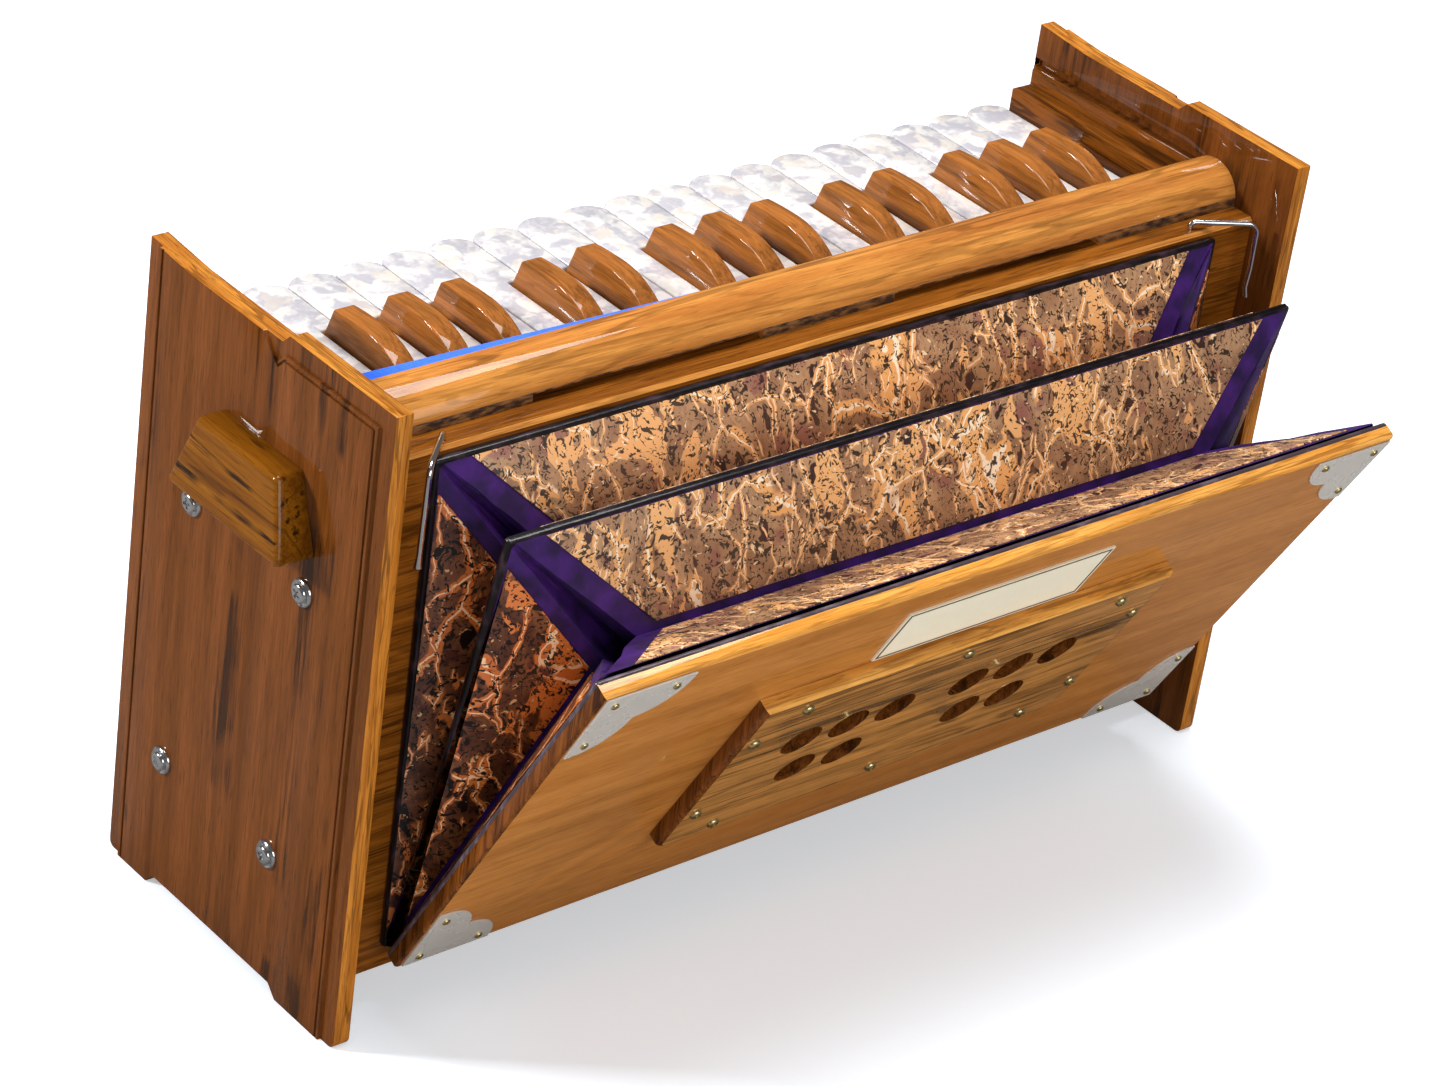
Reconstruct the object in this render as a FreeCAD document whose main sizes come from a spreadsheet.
import FreeCAD
import Part
import Sketcher
import math
import os
import re

# Portable harmonium, lengths in millimetres, angles in degrees.
# +X runs to the player's left, +Z up. The player sits on the +Y side, and the bellows open towards -Y.
# The origin is on the floor, under the middle of the instrument's box with the bellows open.

doc = FreeCAD.newDocument("harmonium")

sizes = {
    # keyboard
    "white_count": 19,
    "white_pitch": 21.7,
    "key_gap": 0.7,
    "key_reach": 140.9,
    "key_drop": 38.2,
    "key_tail_setback": 12.5,
    "cap_thickness": 3.0,
    "tip_bulge": 5.5,
    "lever_thickness": 10.0,
    "lever_setback": 6.5,
    "white_head": 40.1,
    "cap_tail_setback": 38.0,
    "sharp_width": 10.8,
    "sharp_length": 49.6,
    "sharp_height": 12.2,
    "sharp_brow_drop": 1.1,
    "sharp_crest_reach": 23.6,
    "sharp_back_radius": 39.1,
    "sharp_tip_slant": 18.0,
    "pair_shift": 2.3,
    "triple_shift": 2.8,
    "pivot_setback": 48.5,
    "pivot_height": 5.0,
    "rod_radius": 1.5,
    "rod_clearance": 0.05,
    "rod_seat_depth": 4.0,
    "pallet_height": 7.8,
    "pallet_width": 8.6,
    "pallet_length": 14.0,
    "pallet_clearance": 0.2,
    # case
    "cheek_room": 12.85,
    "cheek_clearance": 0.3,
    "cheek_rise": 9.5,
    "cheek_strip_width": 2.5,
    "cheek_strip_rise": 7.2,
    "cheek_setback": 2.0,
    "side_thickness": 9.0,
    "side_height": 272.0,
    "side_depth": 153.0,
    "side_overhang": 18.0,
    "step_setback": 64.5,
    "step_drop": 4.0,
    "corner_drop": 2.0,
    "back_foot": 36.5,
    "front_foot": 28.0,
    "arch_rise": 5.0,
    "arch_slope": 5.0,
    "field_rim": 8.0,
    "field_top_rim": 6.0,
    "field_raise": 1.5,
    "cover_groove_drop": 17.3,
    "cover_groove_width": 4.2,
    "cover_groove_depth": 3.5,
    "base_lift": 15.0,
    "base_thickness": 10.0,
    "panel_thickness": 8.0,
    "front_setback": 9.0,
    "reed_board_thickness": 8.0,
    "reed_hole_radius": 3.6,
    "reed_width": 8.0,
    "reed_length": 34.0,
    "reed_thickness": 1.6,
    "wind_hole_radius": 14.0,
    "wind_hole_offset": 90.0,
    "wind_hole_lift": 120.0,
    "flap_thickness": 1.2,
    "flap_margin": 8.0,
    # top rail, ledge and felt
    "rail_top_drop": 15.0,
    "rail_height": 15.5,
    "rail_width": 28.0,
    "rail_setback": 11.0,
    "rail_slot_height": 3.5,
    "rail_slot_length": 109.0,
    "rail_middle_land": 66.0,
    "ledge_thickness": 6.0,
    "ledge_depth": 24.5,
    "ledge_bevel": 1.5,
    "felt_thickness": 1.6,
    "felt_reach_treble": 55.6,
    "felt_reach_bass": 41.5,
    "felt_clearance": 0.3,
    # handles and side screws
    "handle_top_drop": 45.5,
    "handle_height": 31.8,
    "handle_top_length": 50.0,
    "handle_foot_length": 72.0,
    "handle_top_thickness": 12.0,
    "handle_foot_thickness": 16.5,
    "handle_setback": 54.5,
    "handle_round": 2.5,
    "washer_radius": 5.8,
    "washer_top_radius": 4.2,
    "washer_height": 1.6,
    "screw_head_radius": 3.6,
    "screw_head_top_radius": 2.2,
    "screw_head_height": 1.3,
    "screw_shank_radius": 1.75,
    "screw_clearance": 0.05,
    "screw_high_setback": 23.7,
    "screw_low_setback": 30.7,
    "screw_span": 71.0,
    "screw_high_drop": 15.9,
    "screw_low": 60.0,
    # bellows
    "bellows_half_length": 195.0,
    "back_frame_thickness": 3.0,
    "back_frame_bar": 16.0,
    "back_frame_top_drop": 33.5,
    "back_frame_foot": 2.0,
    "hinge_out": 8.5,
    "hinge_lift": 32.5,
    "fold_gap": 3.0,
    "fold_frame_thickness": 3.0,
    "fold_frame_bar": 7.0,
    "fold_frame_height": 201.0,
    "board_gap": 2.5,
    "board_half_length": 198.0,
    "board_thickness": 6.0,
    "board_height": 201.0,
    "board_below_hinge": 3.3,
    "board_round": 1.5,
    "fold_tilt": 11.2,
    "board_tilt": 28.6,
    "cloth_thickness": 1.2,
    "cloth_clearance": 0.3,
    "cloth_inset": 1.0,
    "cloth_below_hinge": 2.0,
    "inner_valley_inset": 29.0,
    "inner_valley_depth": 31.0,
    "outer_valley_inset": 39.0,
    "outer_valley_depth": 33.0,
    # pieces on the bellows board
    "cover_shift": 3.0,
    "cover_length": 208.0,
    "cover_height": 104.0,
    "cover_thickness": 6.0,
    "cover_lift": 46.0,
    "cover_corner": 9.0,
    "cover_round": 2.5,
    "hole_radius": 9.0,
    "hole_pitch": 23.5,
    "hole_group_offset": 42.4,
    "hole_row_high": 110.0,
    "hole_row_low": 83.0,
    "corner_leg": 40.0,
    "corner_edge_gap": 1.8,
    "corner_plate_thickness": 0.8,
    "corner_cusp": 21.5,
    "corner_lobe_bulge": 5.8,
    "corner_screw_inset": 5.5,
    "corner_screw_reach": 33.0,
    "small_screw_radius": 1.7,
    "small_screw_top_radius": 1.1,
    "small_screw_height": 0.9,
    "cover_screw_radius": 2.6,
    "cover_screw_top_radius": 1.7,
    "cover_screw_height": 1.6,
    "cover_screw_inset": 7.0,
    "cover_screw_rise": 9.0,
    "cover_screw_side_rise": 25.5,
    "cover_screw_span": 80.0,
    "label_length": 104.0,
    "label_height": 33.0,
    "label_thickness": 0.8,
    "label_lift": 169.0,
    # wire catches
    "catch_pin_offset": 187.0,
    "catch_pin_setback": 4.5,
    "catch_pin_depth": 5.0,
    "catch_pin_clearance": 0.05,
    "catch_lift": 3.2,
    "catch_wire_radius": 1.2,
    "catch_bend_radius": 2.4,
    "catch_arm": 27.0,
    "left_catch_swing": 29.0,
    "left_catch_leg": 31.0,
    "right_catch_swing": 42.0,
    "right_catch_leg": 42.0,
    # how far a cutting shape runs past the piece it cuts
    "overrun": 5.0,
}

places = {
    "keys_half": "white_count * white_pitch / 2",
    "inner_half": "keys_half + cheek_room",
    "outer_half": "inner_half + side_thickness",
    "frame_back_out": "back_frame_thickness - hinge_out",
    "fold_frame_out": "frame_back_out + fold_gap + fold_frame_thickness",
    "board_out": "fold_frame_out + board_gap + board_thickness",
    "cover_out": "board_out + cover_thickness",
    "board_top": "board_height - board_below_hinge",
    "bellows_reach": "hinge_out + (board_out - board_round) * cos(board_tilt)"
    " + (board_top - board_round) * sin(board_tilt) + board_round",
    "rear_face": "(bellows_reach - key_reach) / 2",
    "bellows_edge": "rear_face - side_overhang",
    "player_edge": "bellows_edge + side_depth",
    "step_edge": "bellows_edge + step_setback",
    "key_tip": "rear_face + key_reach",
    "hinge_line": "rear_face - hinge_out",
    "base_top": "base_lift + base_thickness",
    "front_outside": "player_edge - front_setback",
    "front_inside": "front_outside - panel_thickness",
    "rear_inside": "rear_face + panel_thickness",
    "white_top": "side_height - key_drop",
    "lever_top": "white_top - cap_thickness",
    "lever_bottom": "lever_top - lever_thickness",
    "reed_board_top": "lever_bottom - pallet_height - pallet_clearance",
    "reed_board_bottom": "reed_board_top - reed_board_thickness",
    "key_half": "(white_pitch - key_gap) / 2",
    "tip_radius": "(key_half * key_half + tip_bulge * tip_bulge) / (2 * tip_bulge)",
    "tip_notch": "key_tip - tip_bulge",
    "lever_front": "key_tip - lever_setback",
    "sharp_tip": "key_tip - white_head",
    "head_end": "sharp_tip + key_gap",
    "key_tail": "rear_face + key_tail_setback",
    "cap_tail": "rear_face + cap_tail_setback",
    "sharp_top": "white_top + sharp_height",
    "sharp_brow_top": "sharp_top - sharp_brow_drop",
    "sharp_brow": "sharp_tip - (sharp_brow_top - lever_top) * tan(sharp_tip_slant)",
    "sharp_crest": "sharp_tip - sharp_crest_reach",
    "sharp_crown": "sharp_brow - sharp_crest",
    "sharp_crown_radius": "(sharp_crown * sharp_crown + sharp_brow_drop * sharp_brow_drop) / (2 * sharp_brow_drop)",
    "sharp_tail": "sharp_tip - sharp_length",
    "sharp_slope": "sharp_crest - sharp_tail",
    "sharp_tail_top": "sharp_top - sharp_back_radius"
    " + sqrt(sharp_back_radius * sharp_back_radius - sharp_slope * sharp_slope)",
    "pivot_line": "rear_face + pivot_setback",
    "pivot_lift": "lever_bottom + pivot_height",
    "ledge_top": "side_height - rail_top_drop - rail_height",
    "ledge_bottom": "ledge_top - ledge_thickness",
    "rail_front": "rear_face + rail_setback",
    "rail_back": "rail_front + rail_width",
    "rail_arc_lift": "ledge_top + rail_height - rail_width / 2",
    "ledge_back": "rear_face + ledge_depth",
    "cheek_top": "white_top + cheek_rise",
    "cheek_inner": "keys_half + cheek_clearance",
    "cheek_front": "player_edge - cheek_setback",
    "felt_half": "cheek_inner - felt_clearance",
    "groove_floor": "side_height - cover_groove_drop - cover_groove_width",
    "handle_top": "side_height - handle_top_drop",
    "handle_foot": "handle_top - handle_height",
    "handle_line": "rear_face + handle_setback",
    "screw_high": "handle_foot - screw_high_drop",
    "back_frame_top": "side_height - back_frame_top_drop",
    "back_frame_bottom": "base_top + back_frame_foot",
    "board_inner_out": "board_out - board_thickness",
    "cover_foot": "cover_lift - board_below_hinge",
    "lobe_radius": "((corner_leg - corner_cusp) * (corner_leg - corner_cusp) + corner_cusp * corner_cusp)"
    " / (8 * corner_lobe_bulge) + corner_lobe_bulge / 2",
    "catch_line": "rear_face + catch_pin_setback",
    "catch_height": "ledge_top + catch_lift",
}

named = {**sizes, **places}
sheet = doc.addObject("Spreadsheet::Sheet", "Sizes")
for row, (name, value) in enumerate(named.items(), start=1):
    sheet.set(f"A{row}", name)
    sheet.setAlias(f"B{row}", name)
    if name in sizes:
        sheet.set(f"B{row}", str(value))


def on_sheet(text):
    """The expression text, with each named size read from the sheet."""
    return re.sub(r"[a-z][a-z_]*", lambda m: f"Sizes.{m[0]}" if m[0] in named else m[0], str(text))


for row, (name, value) in enumerate(named.items(), start=1):
    if name in places:
        own = on_sheet(value).replace("Sizes.", "")
        own = re.sub(r"(cos|sin|tan)\((\w+)\)", r"\1(\2 * 1deg)", own)
        sheet.set(f"B{row}", f"={own}")
doc.recompute()


def read(text):
    return float(sheet.evalExpression(on_sheet(text)))


def bind(item, **links):
    for prop, text in links.items():
        item.setExpression(prop, on_sheet(text))
    return item


def place(item, x=0, y=0, z=0, axis=None, angle=0):
    """Puts an item at x, y, z and turns it about an axis by an angle in degrees."""
    if axis is not None:
        turn = FreeCAD.Rotation(FreeCAD.Vector(*axis), read(angle))
        item.Placement = FreeCAD.Placement(FreeCAD.Vector(), turn)
        item.setExpression("Placement.Rotation.Angle", on_sheet(angle))
    for letter, text in zip("xyz", (x, y, z)):
        item.setExpression(f"Placement.Base.{letter}", on_sheet(text))
    return item


def box(name, low, lengths):
    item = doc.addObject("Part::Box", name)
    bind(item, Length=lengths[0], Width=lengths[1], Height=lengths[2])
    return place(item, *low)


def rod(name, start, length, radius, axis=None, angle=0):
    item = doc.addObject("Part::Cylinder", name)
    bind(item, Radius=radius, Height=length)
    return place(item, *start, axis=axis, angle=angle)


def cone(name, start, height, radius, top_radius, axis=None, angle=0):
    item = doc.addObject("Part::Cone", name)
    bind(item, Radius1=radius, Radius2=top_radius, Height=height)
    return place(item, *start, axis=axis, angle=angle)


def gather(name, shapes):
    item = doc.addObject("Part::Compound", name)
    item.Links = list(shapes)
    return item


def cut(name, base, *tools):
    item = doc.addObject("Part::Cut", name)
    item.Base = base
    item.Tool = tools[0] if len(tools) == 1 else gather(f"{name}_tools", tools)
    return item


def fuse(name, *shapes):
    item = doc.addObject("Part::MultiFuse", name)
    item.Shapes = list(shapes)
    item.Refine = True
    return item


def mirrored(name, source, normal=(1, 0, 0), base=(0, 0, 0)):
    item = doc.addObject("Part::Mirroring", name)
    item.Source = source
    item.Normal = FreeCAD.Vector(*normal)
    for letter, text in zip("xyz", base):
        item.setExpression(f"Base.{letter}", on_sheet(text))
    return item


def outline(body, plane, corners, arcs=None, name="outline"):
    """A closed sketch through corners given as expressions. arcs maps a corner's number to the radius of the arc
    that leaves it and to a point on that arc's bulging side, far from the chord."""
    arcs = arcs or {}
    sketch = body.newObject("Sketcher::SketchObject", f"{body.Name}_{name}")
    face = next(f for f in body.Origin.OriginFeatures if f.Role == plane)
    sketch.AttachmentSupport = [(face, "")]
    sketch.MapMode = "FlatFace"
    points = [FreeCAD.Vector(read(x), read(y), 0) for x, y in corners]
    count = len(points)
    ends = [1] * count
    for i, start in enumerate(points):
        end = points[(i + 1) % count]
        if i not in arcs:
            sketch.addGeometry(Part.LineSegment(start, end), False)
            continue
        radius = read(arcs[i][0])
        toward = FreeCAD.Vector(read(arcs[i][1][0]), read(arcs[i][1][1]), 0)
        middle = (start + end) / 2
        half = (end - start).Length / 2
        across = FreeCAD.Vector(start.y - end.y, end.x - start.x, 0).normalize()
        if (toward - middle).dot(across) < 0:
            across = across * -1
        centre = middle - across * math.sqrt(max(radius * radius - half * half, 0))
        spokes = [start - centre, end - centre]
        if spokes[0].cross(across).z < 0:
            spokes.reverse()
            ends[i] = 2
        angles = [math.atan2(spoke.y, spoke.x) for spoke in spokes]
        circle = Part.Circle(centre, FreeCAD.Vector(0, 0, 1), radius)
        sketch.addGeometry(Part.ArcOfCircle(circle, *angles), False)
    for i in range(count):
        last = (i - 1) % count
        sketch.addConstraint(Sketcher.Constraint("Coincident", last, 3 - ends[last], i, ends[i]))
    for i, corner in enumerate(corners):
        for kind, text in zip(("DistanceX", "DistanceY"), corner):
            at = sketch.addConstraint(Sketcher.Constraint(kind, -1, 1, i, ends[i], read(text)))
            sketch.setExpression(f"Constraints[{at}]", on_sheet(text))
    for i, (radius, _) in arcs.items():
        at = sketch.addConstraint(Sketcher.Constraint("Radius", i, read(radius)))
        sketch.setExpression(f"Constraints[{at}]", on_sheet(radius))
    return sketch


def pad(body, sketch, length, reverse=False):
    feature = body.newObject("PartDesign::Pad", f"{sketch.Name}_pad")
    feature.Profile = sketch
    feature.Reversed = reverse
    bind(feature, Length=length)
    doc.recompute()
    return feature


def pocket(body, sketch, length, reverse=False):
    """A pocket of a given depth. It must take material away."""
    before = body.Shape.Volume
    feature = body.newObject("PartDesign::Pocket", f"{sketch.Name}_pocket")
    feature.Profile = sketch
    feature.Reversed = reverse
    bind(feature, Length=length)
    doc.recompute()
    if body.Shape.Volume >= before:
        raise ValueError(f"{sketch.Name} cuts nothing")
    return feature


def round_edges(body, radius, chosen):
    """Rounds the edges of the body's last feature whose middle is chosen."""
    last = body.Tip
    edges = [f"Edge{i}" for i, edge in enumerate(last.Shape.Edges, start=1) if chosen(edge.CenterOfMass)]
    feature = body.newObject("PartDesign::Fillet", f"{body.Name}_round")
    feature.Base = (last, edges)
    bind(feature, Radius=radius)
    doc.recompute()
    return feature


def new_body(name):
    return doc.addObject("PartDesign::Body", name)


nodes = {}


def node(name, item):
    item.Label = name
    nodes[name] = item
    return item


def on_bellows(item, tilt):
    """Swings a piece, made with the hinge line as its origin, out to its open place."""
    return place(item, y="hinge_line", z="hinge_lift", axis=(1, 0, 0), angle=tilt)


def box_at(name, x_range, y_range, z_range):
    """A box between two places on each axis."""
    spans = (x_range, y_range, z_range)
    return box(name, [low for low, _ in spans], [f"{high} - ({low})" for low, high in spans])


# The player's left side board: stepped top edge, two feet with an arch between them, and a raised field outside.
# It is made with its outer face at x = 0.
side_shape = new_body("side_shape")
arch_back = "bellows_edge + back_foot"
arch_front = "player_edge - front_foot"
side_outline = outline(
    side_shape,
    "YZ_Plane",
    [
        ("bellows_edge", 0),
        (arch_back, 0),
        (f"{arch_back} + arch_slope", "arch_rise"),
        (f"{arch_front} - arch_slope", "arch_rise"),
        (arch_front, 0),
        ("player_edge", 0),
        ("player_edge", "side_height - corner_drop"),
        ("step_edge + step_drop", "side_height - step_drop"),
        ("step_edge", "side_height"),
        ("bellows_edge", "side_height"),
    ],
)
pad(side_shape, side_outline, "side_thickness", reverse=True)
rim_outline = outline(
    side_shape,
    "YZ_Plane",
    [
        ("bellows_edge - overrun", "-overrun"),
        ("bellows_edge + field_rim", "-overrun"),
        ("bellows_edge + field_rim", "side_height - field_top_rim"),
        ("player_edge - field_rim", "side_height - field_top_rim"),
        ("player_edge - field_rim", "-overrun"),
        ("player_edge + overrun", "-overrun"),
        ("player_edge + overrun", "side_height + overrun"),
        ("bellows_edge - overrun", "side_height + overrun"),
    ],
    name="rim",
)
pocket(side_shape, rim_outline, "field_raise")
place(side_shape, x="outer_half")

cover_groove = box_at(
    "cover_groove",
    ("inner_half - overrun", "inner_half + cover_groove_depth"),
    ("rail_front + rail_width / 2", "player_edge + overrun"),
    ("groove_floor", "groove_floor + cover_groove_width"),
)
screw_spots = [
    (f"rear_face + {row}_setback{reach}", row)
    for reach in ("", " + screw_span")
    for row in ("screw_high", "screw_low")
]
side_holes = [
    rod(
        f"side_hole_{i}",
        ("inner_half - overrun", y, z),
        "side_thickness + 2 * overrun",
        "screw_shank_radius + screw_clearance",
        axis=(0, 1, 0),
        angle="90",
    )
    for i, (y, z) in enumerate(screw_spots, start=1)
]
side_left = node("side_board_left", cut("side_left", side_shape, cover_groove, *side_holes))
node("side_board_right", mirrored("side_right", side_left))

# Side screws with cup washers, made on the left board and mirrored.
side_screws = []
for i, (y, z) in enumerate(screw_spots, start=1):
    washer = cone(
        f"washer_{i}",
        ("outer_half", y, z),
        "washer_height",
        "washer_radius",
        "washer_top_radius",
        axis=(0, 1, 0),
        angle="90",
    )
    head = cone(
        f"screw_head_{i}",
        ("outer_half + washer_height", y, z),
        "screw_head_height",
        "screw_head_radius",
        "screw_head_top_radius",
        axis=(0, 1, 0),
        angle="90",
    )
    shank = rod(
        f"screw_shank_{i}",
        ("inner_half", y, z),
        "side_thickness + washer_height",
        "screw_shank_radius",
        axis=(0, 1, 0),
        angle="90",
    )
    side_screws.append(fuse(f"side_screw_{i}", washer, head, shank))
left_screws = gather("left_screws", side_screws)
right_screws = mirrored("right_screws", left_screws)
node("case_screws", gather("case_screws", [left_screws, right_screws]))

# Handle: a block that grows thicker and longer towards its foot, rounded all round except on its back.
handle = new_body("handle")
wedge = handle.newObject("PartDesign::AdditiveWedge", "handle_wedge")
bind(
    wedge,
    Xmin="0",
    X2min="0",
    Ymin="0",
    Xmax="handle_foot_thickness",
    X2max="handle_top_thickness",
    Ymax="handle_height",
    Zmin="-handle_foot_length / 2",
    Zmax="handle_foot_length / 2",
    Z2min="-handle_top_length / 2",
    Z2max="handle_top_length / 2",
)
doc.recompute()
near_back = read("handle_round") / 2
round_edges(handle, "handle_round", lambda middle: middle.x > near_back)
place(handle, x="outer_half", y="handle_line", z="handle_foot", axis=(1, 0, 0), angle="90")
handle_left = node("handle_left", handle)
node("handle_right", mirrored("handle_right", handle_left))

# Boards of the case, between the side boards.
across = ("-inner_half", "inner_half")
node("base_board", box_at("base_board", across, ("rear_face", "front_outside"), ("base_lift", "base_top")))
node(
    "front_panel",
    box_at("front_panel", across, ("front_inside", "front_outside"), ("base_top", "reed_board_top")),
)
rear_sheet = box_at("rear_sheet", across, ("rear_face", "rear_inside"), ("base_top", "ledge_bottom"))
wind_holes = [
    rod(
        f"wind_hole_{i}",
        (f"{side} * wind_hole_offset", "rear_inside + overrun", "wind_hole_lift"),
        "panel_thickness + 2 * overrun",
        "wind_hole_radius",
        axis=(1, 0, 0),
        angle="90",
    )
    for i, side in enumerate((-1, 1), start=1)
]
node("rear_panel", cut("rear_panel", rear_sheet, *wind_holes))
node(
    "wind_flap",
    box_at(
        "wind_flap",
        ("-wind_hole_offset - wind_hole_radius - flap_margin", "wind_hole_offset + wind_hole_radius + flap_margin"),
        ("rear_inside", "rear_inside + flap_thickness"),
        (
            "wind_hole_lift - wind_hole_radius - flap_margin",
            "wind_hole_lift + wind_hole_radius + flap_margin",
        ),
    ),
)

# Ledge behind the bellows, the bullnose rail on it with its two sound slots, and the felt under the rail.
ledge_shape = new_body("ledge_shape")
ledge_outline = outline(
    ledge_shape,
    "YZ_Plane",
    [
        ("rear_face", "ledge_bottom"),
        ("ledge_back", "ledge_bottom"),
        ("ledge_back", "ledge_top"),
        ("rear_face + ledge_bevel", "ledge_top"),
        ("rear_face", "ledge_top - ledge_bevel"),
    ],
)
pad(ledge_shape, ledge_outline, "2 * inner_half")
place(ledge_shape, x="-inner_half")
ledge_holes = [
    rod(
        f"ledge_hole_{i}",
        (f"{side} * catch_pin_offset", "catch_line", "ledge_bottom - overrun"),
        "ledge_thickness + 2 * overrun",
        "catch_wire_radius + catch_pin_clearance",
    )
    for i, side in enumerate((-1, 1), start=1)
]
node("ledge", cut("ledge", ledge_shape, *ledge_holes))

rail_shape = new_body("rail_shape")
rail_outline = outline(
    rail_shape,
    "YZ_Plane",
    [
        ("rail_front", "ledge_top"),
        ("rail_back", "ledge_top"),
        ("rail_back", "rail_arc_lift"),
        ("rail_front + rail_width / 2", "ledge_top + rail_height"),
        ("rail_front", "rail_arc_lift"),
    ],
    arcs={
        2: ("rail_width / 2", ("rail_back", "side_height")),
        3: ("rail_width / 2", ("rail_front", "side_height")),
    },
)
pad(rail_shape, rail_outline, "2 * inner_half")
place(rail_shape, x="-inner_half")
rail_slots = [
    box_at(
        f"rail_slot_{i}",
        (start, f"{start} + rail_slot_length"),
        ("rail_front - overrun", "rail_back + overrun"),
        ("ledge_top - overrun", "ledge_top + rail_slot_height"),
    )
    for i, start in enumerate(("-rail_middle_land / 2 - rail_slot_length", "rail_middle_land / 2"), start=1)
]
node("top_rail", cut("top_rail", rail_shape, *rail_slots))

felt = new_body("felt_strip")
felt_outline = outline(
    felt,
    "XY_Plane",
    [
        ("-felt_half", "ledge_back + felt_clearance"),
        ("felt_half", "ledge_back + felt_clearance"),
        ("felt_half", "rear_face + felt_reach_bass"),
        ("-felt_half", "rear_face + felt_reach_treble"),
    ],
)
pad(felt, felt_outline, "felt_thickness")
place(felt, z="ledge_top - felt_thickness")
node("felt_strip", felt)

# Key cheeks: a block beside the last key and a taller strip against the side board, with a seat for the key rod.
cheek_block = box_at(
    "cheek_block",
    ("cheek_inner", "inner_half"),
    ("rail_back", "cheek_front"),
    ("reed_board_top", "cheek_top"),
)
cheek_strip = box_at(
    "cheek_strip",
    ("inner_half - cheek_strip_width", "inner_half"),
    ("rail_back", "cheek_front"),
    ("cheek_top", "cheek_top + cheek_strip_rise"),
)
rod_seat = rod(
    "rod_seat",
    ("cheek_inner - overrun", "pivot_line", "pivot_lift"),
    "rod_seat_depth + rod_clearance + overrun",
    "rod_radius + rod_clearance",
    axis=(0, 1, 0),
    angle="90",
)
cheek_left = cut("cheek_left", fuse("cheek_whole", cheek_block, cheek_strip), rod_seat)
node("key_cheeks", gather("key_cheeks", [cheek_left, mirrored("cheek_right", cheek_left)]))
node(
    "key_rod",
    rod(
        "key_rod",
        ("-cheek_inner - rod_seat_depth", "pivot_line", "pivot_lift"),
        "2 * (cheek_inner + rod_seat_depth)",
        "rod_radius",
        axis=(0, 1, 0),
        angle="90",
    ),
)

# Keys, from the player's left. A sharp follows each white key whose letter has a shift.
letters = "FGABCDE"
sharp_shifts = {"F": "triple_shift", "G": "0", "A": "-triple_shift", "C": "pair_shift", "D": "-pair_shift"}
white_total = int(sizes["white_count"])
tail_middles = []


def key_letter(i):
    return letters[i % len(letters)]


def tail_side(i, side):
    """The edge of white key i's tail, from the key's middle, on the +X side (side 1) or the -X side (side -1)."""
    before = i - 1 if side > 0 else i
    if 0 <= before < white_total - 1 and key_letter(before) in sharp_shifts:
        shift = sharp_shifts[key_letter(before)]
        return f"{side} * (white_pitch / 2 - sharp_width / 2 - key_gap) + {shift}"
    return f"{side} * key_half"


def key_plate(name, front, tail, sides, thickness, rounded):
    """A flat plate of a white key's outline: a full-width head and a tail between the sharps."""
    body = new_body(name)
    corners = [("-key_half", front), ("key_half", front)]
    if sides[1] != "1 * key_half":
        corners += [("key_half", "head_end"), (sides[1], "head_end")]
    corners += [(sides[1], tail), (sides[0], tail)]
    if sides[0] != "-1 * key_half":
        corners += [(sides[0], "head_end"), ("-key_half", "head_end")]
    arcs = {0: ("tip_radius", (0, "key_tip + key_reach"))} if rounded else None
    pad(body, outline(body, "XY_Plane", corners, arcs), thickness)
    return body


def pivot_hole(name, middle):
    return rod(
        name,
        (f"{middle} - white_pitch", "pivot_line", "pivot_lift"),
        "2 * white_pitch",
        "rod_radius + rod_clearance",
        axis=(0, 1, 0),
        angle="90",
    )


def pallet(name, middle):
    tail_middles.append(middle)
    return box(
        name,
        (f"{middle} - pallet_width / 2", "key_tail", "lever_bottom - pallet_height"),
        ("pallet_width", "pallet_length", "pallet_height"),
    )


for i in range(white_total):
    label = f"white_key_{i + 1:02d}"
    middle = f"keys_half - {2 * i + 1} * white_pitch / 2"
    sides = (tail_side(i, -1), tail_side(i, 1))
    cap = place(key_plate(f"{label}_cap", "tip_notch", "cap_tail", sides, "cap_thickness", True), middle, 0, "lever_top")
    plate = key_plate(f"{label}_plate", "lever_front", "key_tail", sides, "lever_thickness", False)
    place(plate, middle, 0, "lever_bottom")
    lever = cut(f"{label}_lever", plate, pivot_hole(f"{label}_hole", middle))
    tail_middle = f"{middle} + ({sides[0]} + {sides[1]}) / 2"
    node(label, gather(label, [cap, lever, pallet(f"{label}_pallet", tail_middle)]))

sharp_places = [i for i in range(white_total - 1) if key_letter(i) in sharp_shifts]
for number, i in enumerate(sharp_places, start=1):
    label = f"sharp_key_{number:02d}"
    middle = f"keys_half - {i + 1} * white_pitch + {sharp_shifts[key_letter(i)]}"
    cap = new_body(f"{label}_cap")
    profile = outline(
        cap,
        "YZ_Plane",
        [
            ("sharp_tip", "lever_top"),
            ("sharp_brow", "sharp_brow_top"),
            ("sharp_crest", "sharp_top"),
            ("sharp_tail", "sharp_tail_top"),
            ("sharp_tail", "lever_top"),
        ],
        arcs={
            1: ("sharp_crown_radius", ("sharp_brow", "sharp_top + key_reach")),
            2: ("sharp_back_radius", ("sharp_tail", "sharp_top")),
        },
    )
    pad(cap, profile, "sharp_width")
    place(cap, f"{middle} - sharp_width / 2")
    bar = box_at(
        f"{label}_bar",
        (f"{middle} - sharp_width / 2", f"{middle} + sharp_width / 2"),
        ("key_tail", "sharp_tip"),
        ("lever_bottom", "lever_top"),
    )
    lever = cut(f"{label}_lever", bar, pivot_hole(f"{label}_hole", middle))
    node(label, gather(label, [cap, lever, pallet(f"{label}_pallet", middle)]))

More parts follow.
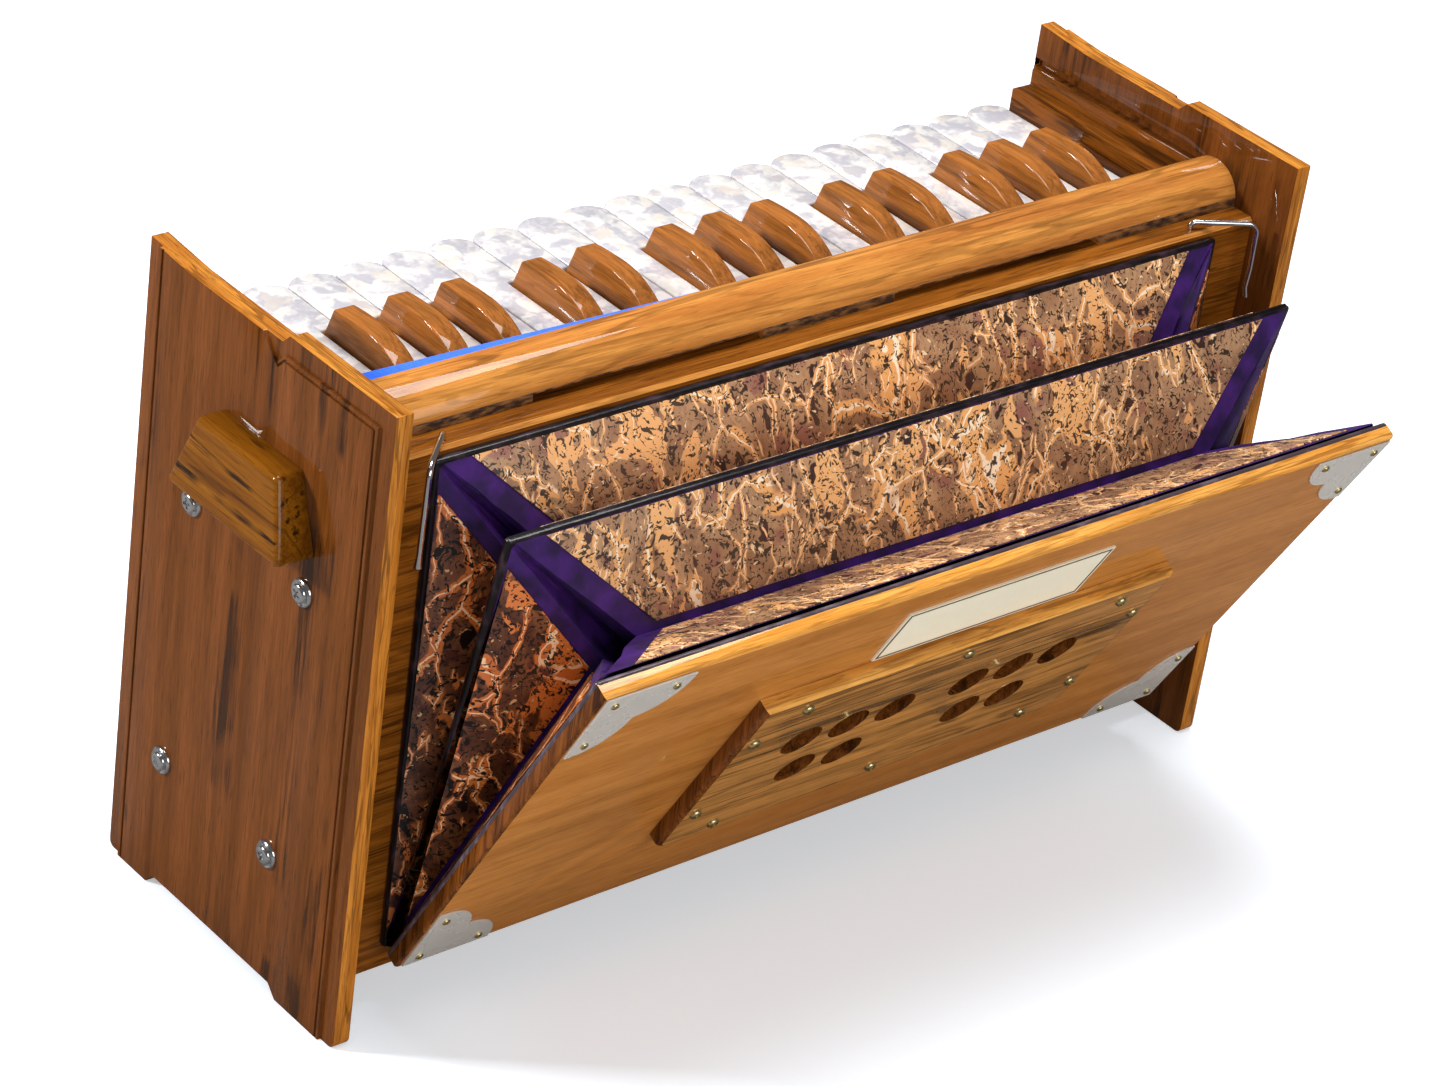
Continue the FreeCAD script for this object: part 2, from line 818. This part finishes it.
# Reed board with one wind hole under each pallet, and a brass reed plate under each hole.
reed_sheet = box_at(
    "reed_sheet", across, ("rear_inside", "front_inside"), ("reed_board_bottom", "reed_board_top")
)
pallet_line = "key_tail + pallet_length / 2"
reed_holes = []
reed_plates = []
for i, middle in enumerate(tail_middles, start=1):
    reed_holes.append(
        rod(
            f"reed_hole_{i}",
            (middle, pallet_line, "reed_board_bottom - overrun"),
            "reed_board_thickness + 2 * overrun",
            "reed_hole_radius",
        )
    )
    reed_plates.append(
        box(
            f"reed_plate_{i}",
            (f"{middle} - reed_width / 2", "key_tail", "reed_board_bottom - reed_thickness"),
            ("reed_width", "reed_length", "reed_thickness"),
        )
    )
node("reed_board", cut("reed_board", reed_sheet, *reed_holes))
node("reeds", gather("reeds", reed_plates))


# Bellows frames: a fixed one on the rear panel and the middle ridge, which swings with the board.
def ring(name, half, depth, low, high, bar):
    outer = box_at(f"{name}_outer", (f"-({half})", half), depth, (low, high))
    inner = box_at(
        f"{name}_inner",
        (f"-({half}) + {bar}", f"{half} - {bar}"),
        (f"{depth[0]} - overrun", f"{depth[1]} + overrun"),
        (f"{low} + {bar}", f"{high} - {bar}"),
    )
    return cut(name, outer, inner)


node(
    "back_frame",
    ring(
        "back_frame",
        "bellows_half_length",
        ("rear_face - back_frame_thickness", "rear_face"),
        "back_frame_bottom",
        "back_frame_top",
        "back_frame_bar",
    ),
)
fold_ring = ring(
    "fold_frame",
    "bellows_half_length",
    ("-fold_frame_out", "fold_frame_thickness - fold_frame_out"),
    "-board_below_hinge",
    "fold_frame_height",
    "fold_frame_bar",
)
node("fold_frame", on_bellows(fold_ring, "fold_tilt"))


def sleeve_wire(tilt, out, low, high, low_half, high_half):
    """The outline of the sleeve in a plane swung out by tilt, at a distance out from the hinge line."""
    turn = math.radians(tilt)
    corners = [(-low_half, low), (low_half, low), (high_half, high), (-high_half, high)]
    points = [
        FreeCAD.Vector(
            x,
            read("hinge_line") - out * math.cos(turn) - up * math.sin(turn),
            read("hinge_lift") - out * math.sin(turn) + up * math.cos(turn),
        )
        for x, up in corners
    ]
    return Part.makePolygon(points + points[:1])


def sleeve(name, tilts, outs, tops, inset, depth):
    """The cloth of one fold: a thin sleeve between two frames, drawn in to a valley half way."""
    thickness = read("cloth_thickness")
    half = read("bellows_half_length - cloth_inset")
    low = -read("cloth_below_hinge")
    middles = [sum(pair) / 2 for pair in (tilts, outs, tops)]
    skins = []
    for wall in (0, thickness):
        wires = [
            sleeve_wire(tilts[0], outs[0], low + wall, tops[0] - wall, half - wall, half - wall),
            sleeve_wire(
                middles[0], middles[1], low + wall, middles[2] - depth - wall, half - wall, half - inset - wall
            ),
            sleeve_wire(tilts[1], outs[1], low + wall, tops[1] - wall, half - wall, half - wall),
        ]
        skins.append(Part.makeLoft(wires, True, True))
    item = doc.addObject("Part::Feature", name)
    item.Shape = skins[0].cut(skins[1])
    return item


gap = read("cloth_clearance")
node(
    "inner_fold",
    sleeve(
        "inner_fold",
        (0, read("fold_tilt")),
        (read("frame_back_out") + gap, read("fold_frame_out - fold_frame_thickness") - gap),
        (read("back_frame_top - hinge_lift - cloth_inset"), read("fold_frame_height - cloth_inset")),
        read("inner_valley_inset"),
        read("inner_valley_depth"),
    ),
)
node(
    "outer_fold",
    sleeve(
        "outer_fold",
        (read("fold_tilt"), read("board_tilt")),
        (read("fold_frame_out") + gap, read("board_inner_out") - gap),
        (read("fold_frame_height - cloth_inset"), read("board_top - cloth_inset")),
        read("outer_valley_inset"),
        read("outer_valley_depth"),
    ),
)

# Bellows board, with ten air holes under the cover plate. It is made closed, with the hinge line as its origin,
# and so are the pieces on it.
board_shape = new_body("board_shape")
board_outline = outline(
    board_shape,
    "XZ_Plane",
    [
        ("-board_half_length", "-board_below_hinge"),
        ("board_half_length", "-board_below_hinge"),
        ("board_half_length", "board_top"),
        ("-board_half_length", "board_top"),
    ],
)
pad(board_shape, board_outline, "board_thickness")
board_skin = -read("board_thickness - board_round / 2")
round_edges(board_shape, "board_round", lambda middle: middle.y < board_skin)
place(board_shape, y="-board_inner_out")

cover_shape = new_body("cover_shape")
cover_half = "cover_length / 2"
cover_outline = outline(
    cover_shape,
    "XZ_Plane",
    [
        (f"-{cover_half} + cover_corner / 2", 0),
        (f"{cover_half} - cover_corner", 0),
        (cover_half, "cover_corner"),
        (cover_half, "cover_height"),
        (f"-{cover_half}", "cover_height"),
        (f"-{cover_half}", "cover_corner / 2"),
    ],
    arcs={5: ("cover_corner / 2", (f"-{cover_half}", 0))},
)
pad(cover_shape, cover_outline, "cover_thickness")
cover_skin = -read("cover_thickness - cover_round / 2")
round_edges(cover_shape, "cover_round", lambda middle: middle.y < cover_skin)
place(cover_shape, x="cover_shift", y="-board_out", z="cover_foot")

hole_spots = [
    (f"cover_shift + {side} * hole_group_offset + {step} * hole_pitch", f"{row} - board_below_hinge")
    for side in (-1, 1)
    for row, steps in (("hole_row_high", (-1, 0, 1)), ("hole_row_low", (-0.5, 0.5)))
    for step in steps
]


def air_holes(name):
    return [
        rod(
            f"{name}_hole_{i}",
            (x, "overrun - board_inner_out", z),
            "cover_out - board_inner_out + 2 * overrun",
            "hole_radius",
            axis=(1, 0, 0),
            angle="90",
        )
        for i, (x, z) in enumerate(hole_spots, start=1)
    ]


node("bellows_board", on_bellows(cut("bellows_board", board_shape, *air_holes("board")), "board_tilt"))
node("hole_cover", on_bellows(cut("hole_cover", cover_shape, *air_holes("cover")), "board_tilt"))

flap_sheet = box_at(
    "flap_sheet",
    (
        "cover_shift - hole_group_offset - hole_pitch - hole_radius - flap_margin",
        "cover_shift + hole_group_offset + hole_pitch + hole_radius + flap_margin",
    ),
    ("-board_inner_out", "flap_thickness - board_inner_out"),
    (
        "hole_row_low - hole_radius - flap_margin - board_below_hinge",
        "hole_row_high + hole_radius + flap_margin - board_below_hinge",
    ),
)
node("intake_flap", on_bellows(gather("intake_flap", [flap_sheet]), "board_tilt"))

label_sheet = box(
    "label_sheet",
    (
        "cover_shift - label_length / 2",
        "-board_out - label_thickness",
        "label_lift - label_height / 2 - board_below_hinge",
    ),
    ("label_length", "label_thickness", "label_height"),
)
node("label_plate", on_bellows(gather("label_plate", [label_sheet]), "board_tilt"))

# Corner plates: one lobed corner, mirrored to the other three.
corner = new_body("corner_shape")
corner_outline = outline(
    corner,
    "XZ_Plane",
    [(0, 0), ("corner_leg", 0), ("corner_cusp", "corner_cusp"), (0, "corner_leg")],
    arcs={
        1: ("lobe_radius", ("corner_leg", "corner_leg")),
        2: ("lobe_radius", ("corner_leg", "corner_leg")),
    },
)
pad(corner, corner_outline, "corner_plate_thickness")
corner_spot = ("corner_edge_gap - board_half_length", "corner_edge_gap - board_below_hinge")
place(corner, corner_spot[0], "-board_out", corner_spot[1])


def four_corners(name, source):
    """The source at the lower -X corner and its three mirror images."""
    middle = (0, 0, "board_top / 2 - board_below_hinge / 2")
    other = mirrored(f"{name}_across", source)
    upper = mirrored(f"{name}_up", source, (0, 0, 1), middle)
    return [source, other, upper, mirrored(f"{name}_up_across", other, (0, 0, 1), middle)]


node("corner_plates", on_bellows(gather("corner_plates", four_corners("corner", corner)), "board_tilt"))

small_screws = [
    cone(
        f"corner_screw_{i}",
        (f"{corner_spot[0]} + {x}", "-board_out - corner_plate_thickness", f"{corner_spot[1]} + {z}"),
        "small_screw_height",
        "small_screw_radius",
        "small_screw_top_radius",
        axis=(1, 0, 0),
        angle="90",
    )
    for i, (x, z) in enumerate(
        [
            ("corner_screw_inset", "corner_screw_inset"),
            ("corner_screw_reach", "corner_screw_inset"),
            ("corner_screw_inset", "corner_screw_reach"),
        ],
        start=1,
    )
]
screw_set = gather("corner_screws", small_screws)
edge_spots = [(span, rise) for span in ("cover_screw_span", "-cover_screw_span", "0") for rise in (
    "cover_screw_rise", "cover_height - cover_screw_rise")]
edge_spots += [
    (f"{side} * (cover_length / 2 - cover_screw_inset)", rise)
    for side in (-1, 1)
    for rise in ("cover_screw_side_rise", "cover_height - cover_screw_side_rise")
]
cover_screws = [
    cone(
        f"cover_screw_{i}",
        (f"cover_shift + {x}", "-cover_out", f"cover_foot + {z}"),
        "cover_screw_height",
        "cover_screw_radius",
        "cover_screw_top_radius",
        axis=(1, 0, 0),
        angle="90",
    )
    for i, (x, z) in enumerate(edge_spots, start=1)
]
node(
    "board_screws",
    on_bellows(gather("board_screws", four_corners("corner_screws", screw_set) + cover_screws), "board_tilt"),
)


# Wire catches, made on the pin's axis: a pin that turns in the ledge, a bend, a level arm, a bend and a leg.
def catch(name, side, angle, leg):
    arm = rod(
        f"{name}_arm",
        ("catch_bend_radius", 0, 0),
        "catch_arm - 2 * catch_bend_radius",
        "catch_wire_radius",
        axis=(0, 1, 0),
        angle="90",
    )
    bend = doc.addObject("Part::Torus", f"{name}_bend")
    bind(bend, Radius1="catch_bend_radius", Radius2="catch_wire_radius")
    bend.Angle3 = 90
    place(bend, "catch_arm - catch_bend_radius", 0, "-catch_bend_radius", axis=(1, 0, 0), angle="90")
    drop = rod(f"{name}_leg", ("catch_arm", 0, f"-{leg}"), f"{leg} - catch_bend_radius", "catch_wire_radius")
    pin_reach = "(catch_lift + catch_pin_depth)"
    pin = rod(f"{name}_pin", (0, 0, f"-{pin_reach}"), f"{pin_reach} - catch_bend_radius", "catch_wire_radius")
    pin_bend = mirrored(f"{name}_pin_bend", bend, base=("catch_arm / 2", 0, 0))
    wire = fuse(name, pin, pin_bend, arm, bend, drop)
    return place(wire, f"{side} * catch_pin_offset", "catch_line", "catch_height", axis=(0, 0, 1), angle=angle)


node("catch_left", catch("catch_left", 1, "-left_catch_swing", "left_catch_leg"))
node("catch_right", catch("catch_right", -1, "180 + right_catch_swing", "right_catch_leg"))

doc.recompute()
for item in doc.Objects:
    if "Invalid" in item.State or "Error" in item.State:
        raise ValueError(f"{item.Name} failed: {item.State}")
for name, item in nodes.items():
    if item.Shape.isNull() or not item.Shape.isValid() or not item.Shape.Solids:
        raise ValueError(f"{name} has no valid shape")
whole = Part.makeCompound([item.Shape for item in nodes.values()]).BoundBox
print(f"{len(nodes)} sub-parts, {whole.XLength:.1f} x {whole.YLength:.1f} x {whole.ZLength:.1f} mm")
os.makedirs("parts", exist_ok=True)
for name, item in nodes.items():
    item.Shape.exportStep(f"parts/{name}.step")
